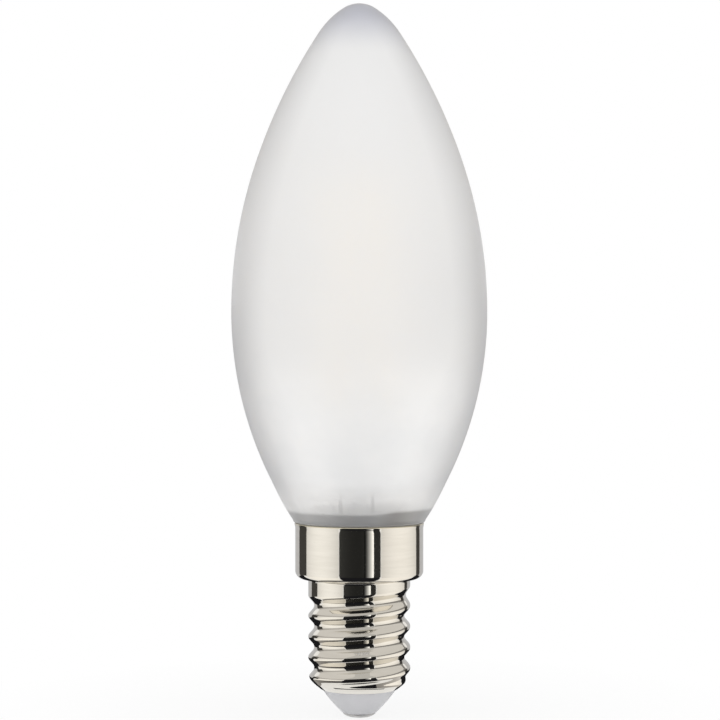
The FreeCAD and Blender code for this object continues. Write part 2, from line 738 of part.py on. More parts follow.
def fusible_resistor():
    """Round body in front of the board, with its upper lead bent back to it."""
    x, y = fuse_axis()
    foot = INSULATOR_TOP + FUSE_LIFT
    top = foot + FUSE_LENGTH
    body = rod((x, y, foot), (x, y, top), FUSE_RADIUS)
    body = body.makeFillet(FUSE_ROUND, [edge for edge in body.Edges if len(edge.Vertexes) == 1])
    high = top + FUSE_RADIUS
    run = [(x, y, top - THIN_WIRE), (x, y, high), (x, BOARD_FRONT, high)]
    lead = bent_wire(run, THIN_WIRE, FUSE_LEAD_BEND)
    return body.fuse(lead).removeSplitter()


def live_wire():
    """From the fusible resistor down to the contact's shank."""
    x, y = fuse_axis()
    start = (x, y, INSULATOR_TOP + FUSE_LIFT)
    shank = CUP_FLOOR + SHANK_PROUD
    drop = INSULATOR_TOP - THIN_WIRE
    run = [start, (x, y, drop), (0, 0, shank + FUSE_RADIUS), (0, 0, shank)]
    return bent_wire(run, THIN_WIRE, WIRE_BEND)


def neutral_run():
    board_side = BOARD_FRONT - THIN_WIRE
    height = LEDGE_FLOOR + THIN_WIRE + NEUTRAL_LIFT
    r = CREST_RADIUS + LEDGE_FILLET - SHEET
    return [
        (NEUTRAL_PLACE, board_side, BOARD_TOP - LEAD_OVERLAP),
        (NEUTRAL_PLACE, board_side, height),
        (r, board_side, height),
    ]


def neutral_wire():
    """From the board out to the ledge of the cap."""
    return bent_wire(neutral_run(), THIN_WIRE, WIRE_BEND)


def solder_joints(wires):
    """Rounded joints where wires end on the board and on the cap's ledge."""
    keep = block(
        (BOARD_WIDTH, SOLDER_ROOM, BOARD_LENGTH),
        (-BOARD_WIDTH / 2, BOARD_FRONT - SOLDER_ROOM, INSULATOR_TOP),
    )
    x, y = fuse_axis()
    fuse_top = INSULATOR_TOP + FUSE_LIFT + FUSE_LENGTH + FUSE_RADIUS
    can_low = INSULATOR_TOP + CAN_LIFT / 2
    places = [
        (LEAD_LEFT, BOARD_TOP - LEAD_OVERLAP),
        (LEAD_RIGHT, BOARD_TOP - LEAD_OVERLAP),
        (NEUTRAL_PLACE, BOARD_TOP - LEAD_OVERLAP),
        (CAN_PLACE - CAN_LEAD_SPREAD, can_low),
        (CAN_PLACE + CAN_LEAD_SPREAD, can_low),
        (x, fuse_top),
    ]
    joints = []
    for x, z in places:
        ball = Part.makeSphere(SOLDER_RADIUS, FreeCAD.Vector(x, BOARD_FRONT, z))
        joints.append(ball.common(keep).cut(wires))
    end = FreeCAD.Vector(*neutral_run()[-1])
    room = (SOLDER_ROOM, SOLDER_ROOM, SOLDER_ROOM)
    ledge = block(room, (end.x - SOLDER_ROOM / 2, end.y - SOLDER_ROOM / 2, LEDGE_FLOOR + FIT))
    joints.append(Part.makeSphere(SOLDER_RADIUS, end).common(ledge).cut(wires))
    return Part.makeCompound([solid for joint in joints for solid in joint.Solids])


def save(name, shape):
    shape.exportStep("parts/" + name + ".step")


def build():
    os.makedirs("parts", exist_ok=True)
    lead_left = lead_wire(LEAD_LEFT, 1, 2)
    lead_right = lead_wire(LEAD_RIGHT, 3, 0)
    top_back = top_wire(0, 1)
    top_front = top_wire(2, 3)
    capacitor = smoothing_capacitor()
    resistor = fusible_resistor()
    neutral = neutral_wire()
    save("glass_envelope", glass_envelope())
    save("glass_stem", glass_stem([lead_left, lead_right]))
    save("glass_post", glass_post([top_back, top_front]))
    save("lead_wire_left", lead_left)
    save("lead_wire_right", lead_right)
    save("top_wire_back", top_back)
    save("top_wire_front", top_front)
    for index in range(FILAMENT_COUNT):
        save("filament_" + str(index + 1), filament(index))
    save("filament_tabs", filament_tabs([lead_left, lead_right, top_back, top_front]))
    save("cement_ring", cement_ring())
    save("cap_shell", cap_shell())
    save("insulator", insulator())
    save("centre_contact", centre_contact())
    save("driver_board", driver_board())
    save("driver_chip", driver_chip())
    save("bridge_rectifier", bridge_rectifier())
    save("smoothing_capacitor", capacitor)
    save("fusible_resistor", resistor)
    save("chip_capacitor", chip_capacitor())
    save("chip_resistors", chip_resistors())
    save("live_wire", live_wire())
    save("neutral_wire", neutral)
    save("solder_joints", solder_joints([lead_left, lead_right, neutral, capacitor, resistor]))


build()
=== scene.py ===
import math
import bpy
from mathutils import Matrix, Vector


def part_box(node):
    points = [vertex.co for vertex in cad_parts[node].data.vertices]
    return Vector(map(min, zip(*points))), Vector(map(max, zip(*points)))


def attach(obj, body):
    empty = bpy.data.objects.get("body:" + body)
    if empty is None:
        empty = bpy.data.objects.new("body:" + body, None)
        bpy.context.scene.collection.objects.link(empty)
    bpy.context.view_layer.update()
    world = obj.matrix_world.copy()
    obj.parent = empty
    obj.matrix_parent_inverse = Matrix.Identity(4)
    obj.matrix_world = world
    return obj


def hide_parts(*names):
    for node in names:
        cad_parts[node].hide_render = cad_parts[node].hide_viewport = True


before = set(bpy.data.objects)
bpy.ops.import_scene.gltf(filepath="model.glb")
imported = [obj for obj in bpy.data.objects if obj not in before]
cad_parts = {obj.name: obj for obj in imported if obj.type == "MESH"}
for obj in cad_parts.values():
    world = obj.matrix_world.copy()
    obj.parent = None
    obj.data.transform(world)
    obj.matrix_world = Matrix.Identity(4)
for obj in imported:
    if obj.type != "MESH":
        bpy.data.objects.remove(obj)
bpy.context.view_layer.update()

# A frosted filament candle lamp with a small screw cap, which faces the camera on its -Y side.
# Outlines are worked out in millimetres, as (radius, height) points up from the centre contact.
MM = 0.001


def span_of(node):
    """A node's lowest and highest corners, in millimetres."""
    low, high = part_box(node)
    return low / MM, high / MM


# Sizes that the frame gives
GLASS_LOW, GLASS_HIGH = span_of("glass_envelope")
CAP_LOW, CAP_HIGH = span_of("cap_shell")
INSULATOR_LOW, INSULATOR_HIGH = span_of("insulator")
CONTACT_HIGH = span_of("centre_contact")[1]
LAMP_TOP = GLASS_HIGH.z
CAP_RIM = CAP_HIGH.z

# Glass: tangent arcs from the tip to the neck. The flank is aimed at one circle and ends at a share of
# its turn, and the tip is drawn a little sharper than the solid's.
AIMED_RADIUS = 5.32
TIP_RADIUS = 4.0
CROWN_RADIUS = 63.2
CROWN_SHARE = 0.4577
FLANK_SHARE = 0.91
BELLY_RADIUS = GLASS_HIGH.x
BELLY_HEIGHT = 55.1
CROWN_RISE = CROWN_SHARE * (LAMP_TOP - BELLY_HEIGHT)
CROWN_TURN = math.degrees(math.asin(CROWN_RISE / CROWN_RADIUS))
LOWER_BELLY_RADIUS = 51.0
CONE_ANGLE = 26.0
CONE_LENGTH = 2.6
SHOULDER_RADIUS = 29.5
GLASS_WALL = 0.7
SEAT_BEAD = 0.35
SEAT_LIFT = 0.05
NECK_FILLET = 0.28
NECK_PLAY = 0.3

# Cap: one drawn sheet with a collar, a ledge and a rolled thread. The rim flares up to a share of its
# depth, where the rolled edge takes over.
COLLAR_RADIUS = 8.71
COLLAR_CORNER = 1.05
RIM_FLARE = 0.11
RIM_DEPTH = 0.8
RIM_SHARE = 0.85
LEDGE_HEIGHT = 18.84
LEDGE_FILLET = 0.35
SHEET = 0.3
CREST_RADIUS = 6.94
PITCH = 2.822
THREAD_DEPTH = 0.8
CREST_ROUND = 0.62
FLANK_LEAN = 42.0
FIRST_CREST = 6.67
GROOVE_TOP = 16.0
GROOVE_TOP_FADE = 1.6
GROOVE_FOOT = 4.2
GROOVE_FOOT_FADE = 2.0
FOOT_RADIUS = 2.0
FOOT_LEAN = 52.4
FOOT_HEIGHT = CAP_LOW.z
FOOT_OPENING = 5.25

# Insulator and centre contact
SHANK_RADIUS = 0.9
SHANK_FIT = 0.05
CONE_FOOT_RADIUS = 2.3
CONE_BULGE = 0.13
FLANGE_LIFT = 0.12
CUP_RADIUS = 3.6
CUP_FLOOR = 2.6
CONTACT_FLAT = 1.0
CONTACT_DOME = 0.45
CONTACT_HEIGHT = 0.6

# How finely the walls are drawn: columns round the axis, and the longest step along an outline
GLASS_COLUMNS = 128
CAP_COLUMNS = 192
SMALL_COLUMNS = 96
GLASS_STEP = 0.9
TIP_STEP = 0.35
THREAD_STEP = 0.07
INNER_STEP = 0.3
COLLAR_STEP = 0.6
LEDGE_STEP = 0.2
CORNER_STEP = 0.1
DISC_STEP = 0.25
EDGE_STEP = 0.05
FLARE_ROWS = 10
CONE_ROWS = 8
FOOT_STRETCH = 1.5
SAME_POINT = 0.0005
WELD_DISTANCE = 1e-6
SHARP_ANGLE = 50.0

# Eased corners: the usual radius, the share of a side that an arc may take, and the arc's points
EDGE_ROUND = 0.1
SIDE_SHARE = 0.45
ARC_SHARES = (0.25, 0.5, 0.75, 1.0)

# Camera
LENS = 102.85
FILM_WIDTH = 36.0
NEAREST_SEEN = 0.01
CAMERA_PLACE = (0.0001, -0.28, 0.0485)

# Room light: its level, and how it changes towards the back and upwards
ROOM_LEVEL = 1.08
ROOM_TO_BACK = -0.43
ROOM_UPWARDS = -0.32

# Floor: half its width, where its shadow starts to fade and is gone, and how white it is seen near the lamp
FLOOR_HALF = 4000
SHADOW_NEAR = 15
SHADOW_GONE = 60
FLOOR_WHITENESS = 0.85


def on_circle(centre, radius, angle):
    """The (radius, height) point of an arc at an angle up from the outward direction."""
    turn = math.radians(angle)
    return (centre[0] + radius * math.cos(turn), centre[1] + radius * math.sin(turn))


def bow(centre, radius, start, end, step):
    """Points along a round stretch between two angles."""
    length = abs(math.radians(end - start) * radius)
    count = max(2, math.ceil(length / step))
    return [on_circle(centre, radius, start + (end - start) * i / count) for i in range(count + 1)]


def run(start, end, step):
    """Points along a straight stretch."""
    count = max(1, math.ceil(math.dist(start, end) / step))
    shares = [i / count for i in range(count + 1)]
    return [(start[0] + (end[0] - start[0]) * t, start[1] + (end[1] - start[1]) * t) for t in shares]


def chain(*stretches):
    """One outline from stretches that meet, with each shared point kept once."""
    outline = []
    for point in (point for stretch in stretches for point in stretch):
        if not outline or math.dist(outline[-1], point) > SAME_POINT:
            outline.append(point)
    return outline


def eased(corners, radius, step):
    """An open outline through corners, with a small arc at each one and no stretch longer than step."""
    outline = [corners[0]]
    for before, corner, after in zip(corners, corners[1:], corners[2:]):
        ways = []
        for side in (before, after):
            reach = math.dist(corner, side)
            ways.append(((side[0] - corner[0]) / reach, (side[1] - corner[1]) / reach, reach))
        half = math.acos(max(-1, min(1, ways[0][0] * ways[1][0] + ways[0][1] * ways[1][1]))) / 2
        back = min(radius / math.tan(half), ways[0][2] * SIDE_SHARE, ways[1][2] * SIDE_SHARE)
        begin = (corner[0] + ways[0][0] * back, corner[1] + ways[0][1] * back)
        end = (corner[0] + ways[1][0] * back, corner[1] + ways[1][1] * back)
        outline += run(outline[-1], begin, step)
        for t in ARC_SHARES:
            shares = ((1 - t) ** 2, 2 * t * (1 - t), t * t)
            spots = list(zip(shares, (begin, corner, end)))
            outline.append(tuple(sum(share * spot[k] for share, spot in spots) for k in (0, 1)))
    return chain(outline, run(outline[-1], corners[-1], step))


def ease(t):
    """Smooth step from 0 to 1."""
    t = min(max(t, 0.0), 1.0)
    return t * t * (3 - 2 * t)


# Outlines

def circle_between(start, turn, circle, radius):
    """The arc from a point, at a turn, to a circle inside it: its centre, its radius and its last turn."""
    way = on_circle((0, 0), 1, turn)
    span = (start[0] - circle[0], start[1] - circle[1])
    ahead = span[0] * way[0] + span[1] * way[1]
    reach = (span[0] ** 2 + span[1] ** 2 - radius**2) / (2 * (ahead - radius))
    centre = on_circle(start, -reach, turn)
    return centre, reach, math.degrees(math.atan2(circle[1] - centre[1], circle[0] - centre[0]))


def glass_line(inset, step):
    """The blown outline from the shoulder up to the tip, moved in by inset, and the shoulder's centre."""
    aimed = (0.0, LAMP_TOP - AIMED_RADIUS)
    tip = (0.0, LAMP_TOP - TIP_RADIUS)
    crown = (BELLY_RADIUS - CROWN_RADIUS, BELLY_HEIGHT)
    belly = (BELLY_RADIUS - LOWER_BELLY_RADIUS, BELLY_HEIGHT)
    crown_end = on_circle(crown, CROWN_RADIUS, CROWN_TURN)
    flank, flank_radius, aimed_turn = circle_between(crown_end, CROWN_TURN, aimed, AIMED_RADIUS)
    nose_turn = CROWN_TURN + FLANK_SHARE * (aimed_turn - CROWN_TURN)
    nose_start = on_circle(flank, flank_radius, nose_turn)
    nose, nose_radius, tip_turn = circle_between(nose_start, nose_turn, tip, TIP_RADIUS)
    lean = math.radians(CONE_ANGLE)
    cone_top = on_circle(belly, LOWER_BELLY_RADIUS - inset, -CONE_ANGLE)
    cone_foot = (cone_top[0] - CONE_LENGTH * math.sin(lean), cone_top[1] - CONE_LENGTH * math.cos(lean))
    shoulder = on_circle(cone_foot, SHOULDER_RADIUS - inset, 180 - CONE_ANGLE)
    upward = chain(
        run(cone_foot, cone_top, step),
        bow(belly, LOWER_BELLY_RADIUS - inset, -CONE_ANGLE, 0, step),
        bow(crown, CROWN_RADIUS - inset, 0, CROWN_TURN, step),
        bow(flank, flank_radius - inset, CROWN_TURN, nose_turn, step),
        bow(nose, nose_radius - inset, nose_turn, tip_turn, TIP_STEP),
        bow(tip, TIP_RADIUS - inset, tip_turn, 90, TIP_STEP),
    )
    return upward, shoulder


def envelope_outline():
    """Down the inside from the tip, round the neck's foot, and up the outside over the small seat bead."""
    neck_radius = COLLAR_RADIUS - SHEET - NECK_PLAY
    neck_bore = neck_radius - GLASS_WALL
    seat = CAP_RIM + SEAT_LIFT
    outside, shoulder = glass_line(0, GLASS_STEP)
    inside, shoulder = glass_line(GLASS_WALL, GLASS_STEP * 2)
    stop = -math.degrees(math.asin((shoulder[1] - seat - SEAT_BEAD) / SHOULDER_RADIUS))
    bead_rim = on_circle(shoulder, SHOULDER_RADIUS, stop)
    bead = (bead_rim[0] - SEAT_BEAD, bead_rim[1])
    fillet = (neck_radius + NECK_FILLET, seat - NECK_FILLET)
    inner_radius = SHOULDER_RADIUS - GLASS_WALL
    inner_stop = -math.degrees(math.acos((neck_bore - shoulder[0]) / inner_radius))
    foot_middle = (neck_radius - GLASS_WALL / 2, GLASS_LOW.z + GLASS_WALL / 2)
    return chain(
        inside[::-1],
        bow(shoulder, inner_radius, -CONE_ANGLE, inner_stop, GLASS_STEP),
        run(on_circle(shoulder, inner_radius, inner_stop), (neck_bore, foot_middle[1]), GLASS_STEP),
        bow(foot_middle, GLASS_WALL / 2, -180, 0, EDGE_STEP * 2),
        run((neck_radius, foot_middle[1]), (neck_radius, fillet[1]), GLASS_STEP),
        bow(fillet, NECK_FILLET, 180, 90, EDGE_STEP),
        run((fillet[0], seat), (bead[0], seat), EDGE_STEP * 4),
        bow(bead, SEAT_BEAD, -90, 0, EDGE_STEP),
        bow(shoulder, SHOULDER_RADIUS, stop, -CONE_ANGLE, GLASS_STEP / 2),
        outside,
    )


def foot_places(inset):
    """The cap's turned-in foot: its edge, and the centre of the arc between its slope and the barrel."""
    lean = math.radians(FOOT_LEAN)
    centre_radius = CREST_RADIUS - FOOT_RADIUS
    arc_end = on_circle((centre_radius, 0), FOOT_RADIUS, -FOOT_LEAN)
    slope = (arc_end[0] - FOOT_OPENING) / math.sin(lean)
    centre = (centre_radius, FOOT_HEIGHT + slope * math.cos(lean) - arc_end[1])
    edge = (FOOT_OPENING - inset * math.cos(lean), FOOT_HEIGHT + inset * math.sin(lean))
    return edge, centre


def cap_side(inset, step):
    """One side of the drawn sheet from its foot to its rim: the threaded stretch and the plain one."""
    edge, foot = foot_places(inset)
    fillet = (CREST_RADIUS + LEDGE_FILLET, LEDGE_HEIGHT - LEDGE_FILLET)
    corner = (COLLAR_RADIUS - COLLAR_CORNER, LEDGE_HEIGHT + COLLAR_CORNER)
    barrel = CREST_RADIUS - inset
    collar = COLLAR_RADIUS - inset
    shares = [i / FLARE_ROWS for i in range(FLARE_ROWS) if i / FLARE_ROWS < RIM_SHARE]
    flare = [(collar + RIM_FLARE * ease(t), CAP_RIM - RIM_DEPTH * (1 - t)) for t in shares]
    threaded = chain(
        run(edge, on_circle(foot, FOOT_RADIUS - inset, -FOOT_LEAN), step * FOOT_STRETCH),
        bow(foot, FOOT_RADIUS - inset, -FOOT_LEAN, 0, step * FOOT_STRETCH),
        run((barrel, foot[1]), (barrel, fillet[1]), step),
    )
    plain = chain(
        bow(fillet, LEDGE_FILLET + inset, 180, 90, EDGE_STEP),
        run((fillet[0], LEDGE_HEIGHT + inset), (corner[0], LEDGE_HEIGHT + inset), LEDGE_STEP),
        bow(corner, COLLAR_CORNER - inset, -90, 0, CORNER_STEP),
        run((collar, corner[1]), (collar, CAP_RIM - RIM_DEPTH), COLLAR_STEP),
        flare,
    )
    return threaded, plain


def cap_outline():
    """Up the outside, over the rim and down the inside, and how far each point of it is threaded."""
    threaded, plain = cap_side(0, THREAD_STEP)
    inner_threaded, inner_plain = cap_side(SHEET, INNER_STEP)
    rim = (COLLAR_RADIUS + RIM_FLARE - SHEET / 2, CAP_RIM - SHEET / 2)
    rim_roll = bow(rim, SHEET / 2, 0, 180, EDGE_STEP)
    inner = inner_threaded[::-1]
    foot_roll = chain([inner[-1]], [threaded[0]])
    outline = []
    marks = []
    for points, mark in (
        (threaded, 1.0),
        (plain, 0.0),
        (rim_roll, 0.0),
        (inner_plain[::-1], 0.0),
        (inner, 1.0),
        (foot_roll[1:], 1.0),
    ):
        for point in points:
            if not outline or math.dist(outline[-1], point) > SAME_POINT:
                outline.append(point)
                marks.append(mark)
    return outline, marks


def insulator_outline():
    """White cone, neck, flange and cup, closed round its bore."""
    edge, _ = foot_places(SHEET)
    neck = edge[0] - SHANK_FIT
    flange_radius = INSULATOR_HIGH.x
    flange = edge[1] + (flange_radius - edge[0]) / math.tan(math.radians(FOOT_LEAN)) + FLANGE_LIFT
    bore = SHANK_RADIUS + SHANK_FIT
    foot = (CONE_FOOT_RADIUS, INSULATOR_LOW.z)
    shoulder = (neck, FOOT_HEIGHT - SHANK_FIT)
    slope = math.atan2(shoulder[1] - foot[1], shoulder[0] - foot[0])
    shares = [i / CONE_ROWS for i in range(1, CONE_ROWS)]
    cone = []
    for t in shares:
        swell = CONE_BULGE * 4 * t * (1 - t)
        cone.append(
            (
                foot[0] + (shoulder[0] - foot[0]) * t + swell * math.sin(slope),
                foot[1] + (shoulder[1] - foot[1]) * t - swell * math.cos(slope),
            )
        )
    corners = [
        (bore + EDGE_ROUND * 3, INSULATOR_LOW.z),
        foot,
        *cone,
        shoulder,
        (neck, flange),
        (flange_radius, flange),
        (flange_radius, INSULATOR_HIGH.z),
        (CUP_RADIUS, INSULATOR_HIGH.z),
        (CUP_RADIUS, CUP_FLOOR),
        (bore, CUP_FLOOR),
        (bore, INSULATOR_LOW.z),
        (bore + EDGE_ROUND * 3, INSULATOR_LOW.z),
    ]
    return eased(corners, EDGE_ROUND, INNER_STEP * 2)


def contact_outline():
    """Domed disc with its shank, from the axis below to the axis above."""
    swell = CONTACT_HIGH.x - CONTACT_FLAT
    dome = (swell**2 + CONTACT_DOME**2) / (2 * CONTACT_DOME)
    centre = (CONTACT_FLAT, dome)
    edge = math.degrees(math.atan2(CONTACT_DOME - dome, swell))
    top = CONTACT_HIGH.z
    rim = [(CONTACT_HIGH.x, CONTACT_HEIGHT), (SHANK_RADIUS, CONTACT_HEIGHT), (SHANK_RADIUS, top), (0, top)]
    underside = chain(run((0, 0), (CONTACT_FLAT, 0), DISC_STEP), bow(centre, dome, -90, edge, CORNER_STEP))
    return chain(underside, eased([underside[-1]] + rim, EDGE_ROUND / 2, LEDGE_STEP))


# The tree that turns an outline into a wall and rolls the thread into it

WALL_SIZES = {
    "Columns": ("NodeSocketInt", GLASS_COLUMNS),
    "First Crest": ("NodeSocketFloat", FIRST_CREST * MM),
    "Pitch": ("NodeSocketFloat", PITCH * MM),
    "Thread Depth": ("NodeSocketFloat", THREAD_DEPTH * MM),
    "Crest Round": ("NodeSocketFloat", CREST_ROUND * MM),
    "Flank Lean": ("NodeSocketFloat", math.radians(FLANK_LEAN)),
    "Groove Foot": ("NodeSocketFloat", GROOVE_FOOT * MM),
    "Foot Fade": ("NodeSocketFloat", GROOVE_FOOT_FADE * MM),
    "Groove Top": ("NodeSocketFloat", GROOVE_TOP * MM),
    "Top Fade": ("NodeSocketFloat", GROOVE_TOP_FADE * MM),
}


def add(tree, kind, values=None, **settings):
    """A new node with its settings, and values or links for its inputs by name or number."""
    node = tree.nodes.new(kind)
    for name, setting in settings.items():
        setattr(node, name, setting)
    for key, value in (values or {}).items():
        if isinstance(value, bpy.types.NodeSocket):
            tree.links.new(value, node.inputs[key])
        else:
            node.inputs[key].default_value = value
    return node


def sums(tree):
    """A short way to write formulas in a node tree."""
    def work(operation, *terms):
        return add(tree, "ShaderNodeMath", dict(enumerate(terms)), operation=operation).outputs[0]
    return work


def ramped(tree, value, band, ends=(0.0, 1.0), smooth=False):
    """A number that goes from one end to the other while a value passes through a band."""
    given = {"Value": value, "From Min": band[0], "From Max": band[1], "To Min": ends[0], "To Max": ends[1]}
    kind = "SMOOTHSTEP" if smooth else "LINEAR"
    return add(tree, "ShaderNodeMapRange", given, interpolation_type=kind).outputs[0]


def rolled_groove(tree, sizes, height, turn):
    """Depth of the groove at a height and a share of a turn: round crest, straight flank, wide round root."""
    work = sums(tree)
    pitch = sizes["Pitch"]
    deep = sizes["Thread Depth"]
    crest = sizes["Crest Round"]
    lean = sizes["Flank Lean"]
    sine = work("SINE", lean)
    cosine = work("COSINE", lean)
    spare = work("SUBTRACT", 1.0, cosine)
    half = work("MULTIPLY", pitch, 0.5)
    both_rounds = work(
        "DIVIDE", work("SUBTRACT", work("MULTIPLY", half, sine), work("MULTIPLY", deep, cosine)), spare
    )
    root = work("SUBTRACT", both_rounds, crest)
    phase = work("SUBTRACT", work("DIVIDE", work("SUBTRACT", height, sizes["First Crest"]), pitch), turn)
    off_crest = work("ABSOLUTE", work("SUBTRACT", phase, work("ROUND", phase)))
    from_crest = work("MULTIPLY", off_crest, pitch)
    from_root = work("SUBTRACT", half, from_crest)

    def sag(radius, distance):
        """How far an arc has fallen from its top at a distance aside."""
        near = work("MINIMUM", distance, radius)
        square = work("SUBTRACT", work("MULTIPLY", radius, radius), work("MULTIPLY", near, near))
        return work("SUBTRACT", radius, work("SQRT", square))

    crest_depth = sag(crest, from_crest)
    root_depth = work("SUBTRACT", deep, sag(root, from_root))
    crest_end = work("MULTIPLY", crest, sine)
    root_end = work("MULTIPLY", root, sine)
    along_flank = work("MULTIPLY", work("SUBTRACT", from_crest, crest_end), work("TANGENT", lean))
    flank_depth = work("ADD", work("MULTIPLY", crest, spare), along_flank)
    by_crest = work("LESS_THAN", from_crest, crest_end)
    by_root = work("LESS_THAN", from_root, root_end)
    depth = add(tree, "ShaderNodeMix", {0: by_crest, 2: flank_depth, 3: crest_depth}).outputs[0]
    depth = add(tree, "ShaderNodeMix", {0: by_root, 2: depth, 3: root_depth}).outputs[0]
    middle = work("ADD", work("ADD", work("FLOOR", phase), turn), 0.5)
    groove_height = work("MULTIPLY_ADD", middle, pitch, sizes["First Crest"])
    foot = sizes["Groove Foot"]
    top = sizes["Groove Top"]
    run_in = ramped(tree, height, (foot, work("ADD", foot, sizes["Foot Fade"])), smooth=True)
    run_out = ramped(tree, groove_height, (top, work("ADD", top, sizes["Top Fade"])), (1.0, 0.0), smooth=True)
    return work("MULTIPLY", work("MULTIPLY", depth, run_in), run_out)


def turned_wall_tree():
    """Turns an outline's points round the axis, with the groove where an outline is marked as threaded."""
    tree = bpy.data.node_groups.new("turned_wall", "GeometryNodeTree")
    tree.interface.new_socket("Outline", in_out="INPUT", socket_type="NodeSocketGeometry")
    for name, (kind, default) in WALL_SIZES.items():
        tree.interface.new_socket(name, in_out="INPUT", socket_type=kind).default_value = default
    tree.interface.new_socket("Finish", in_out="INPUT", socket_type="NodeSocketMaterial")
    tree.interface.new_socket("Wall", in_out="OUTPUT", socket_type="NodeSocketGeometry")
    sizes = tree.nodes.new("NodeGroupInput").outputs
    work = sums(tree)
    outline = sizes["Outline"]
    columns = sizes["Columns"]
    rows = add(tree, "GeometryNodeAttributeDomainSize", {0: outline}).outputs["Point Count"]
    across = work("ADD", columns, 1.0)
    grid = add(tree, "GeometryNodeMeshGrid", {"Vertices X": across, "Vertices Y": rows}).outputs["Mesh"]
    index = tree.nodes.new("GeometryNodeInputIndex").outputs[0]
    column = add(tree, "FunctionNodeIntegerMath", {0: index, 1: rows}, operation="DIVIDE_FLOOR").outputs[0]
    row = add(tree, "FunctionNodeIntegerMath", {0: index, 1: rows}, operation="MODULO").outputs[0]
    place = tree.nodes.new("GeometryNodeInputPosition").outputs[0]
    point = add(
        tree,
        "GeometryNodeSampleIndex",
        {"Geometry": outline, "Value": place, "Index": row},
        data_type="FLOAT_VECTOR",
    ).outputs[0]
    mark = add(tree, "GeometryNodeInputNamedAttribute", {"Name": "threaded"}, data_type="FLOAT").outputs[0]
    threaded = add(
        tree, "GeometryNodeSampleIndex", {"Geometry": outline, "Value": mark, "Index": row}
    ).outputs[0]
    split = add(tree, "ShaderNodeSeparateXYZ", {0: point}).outputs
    turn = work("DIVIDE", column, columns)
    angle = work("MULTIPLY", turn, math.tau)
    drop = work("MULTIPLY", rolled_groove(tree, sizes, split["Z"], turn), threaded)
    radius = work("SUBTRACT", split["X"], drop)
    x = work("MULTIPLY", radius, work("COSINE", angle))
    y = work("MULTIPLY", radius, work("SINE", angle))
    spot = add(tree, "ShaderNodeCombineXYZ", {"X": x, "Y": y, "Z": split["Z"]}).outputs[0]
    wall = add(tree, "GeometryNodeSetPosition", {"Geometry": grid, "Position": spot}).outputs[0]
    wall = add(tree, "GeometryNodeMergeByDistance", {"Geometry": wall, "Distance": WELD_DISTANCE}).outputs[0]
    wall = add(tree, "GeometryNodeSetShadeSmooth", {"Geometry": wall}).outputs[0]
    wall = add(tree, "GeometryNodeRealizeInstances", {"Geometry": wall}).outputs[0]
    wall = add(tree, "GeometryNodeSetMaterial", {"Geometry": wall, "Material": sizes["Finish"]}).outputs[0]
    add(tree, "NodeGroupOutput", {"Wall": wall})
    return tree


def turned_piece(name, node, outline, finish, columns, marks=None):
    """A turned wall as a plain mesh, in place of its CAD node."""
    mesh = bpy.data.meshes.new(name + "_outline")
    pairs = [(i, i + 1) for i in range(len(outline) - 1)]
    mesh.from_pydata([(r * MM, 0, z * MM) for r, z in outline], pairs, [])
    attribute = mesh.attributes.new("threaded", "FLOAT", "POINT")
    attribute.data.foreach_set("value", marks or [0.0] * len(outline))
    piece = bpy.data.objects.new(name, mesh)
    bpy.context.scene.collection.objects.link(piece)
    modifier = piece.modifiers.new("turned_wall", "NODES")
    modifier.node_group = wall_tree
    inputs = {"Columns": columns, "Finish": finish}
    for item in wall_tree.interface.items_tree:
        if item.in_out == "INPUT" and item.name in inputs:
            modifier[item.identifier] = inputs[item.name]
    depsgraph = bpy.context.evaluated_depsgraph_get()
    wall = bpy.data.meshes.new_from_object(piece.evaluated_get(depsgraph))
    piece.modifiers.clear()
    piece.data = wall
    wall.name = name
    wall.set_sharp_from_angle(angle=math.radians(SHARP_ANGLE))
    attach(piece, "root")
    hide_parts(node)
    return piece


# Effects that the finishes share

PATCH_DETAIL = 3.0
PATCH_BAND = (0.35, 0.65)
GRAIN_DETAIL = 2.0
GRAIN_SHARE = 0.5


def effect(name, inputs, outputs):
    """An empty shader group with named sockets; returns the group, its inputs and its output node."""
    group = bpy.data.node_groups.new(name, "ShaderNodeTree")
    kinds = {float: "NodeSocketFloat", tuple: "NodeSocketColor"}
    for label, default in inputs.items():
        socket = group.interface.new_socket(label, in_out="INPUT", socket_type=kinds[type(default)])
        socket.default_value = default
    for label, kind in outputs.items():
        group.interface.new_socket(label, in_out="OUTPUT", socket_type=kind)
    return group, group.nodes.new("NodeGroupInput").outputs, group.nodes.new("NodeGroupOutput").inputs


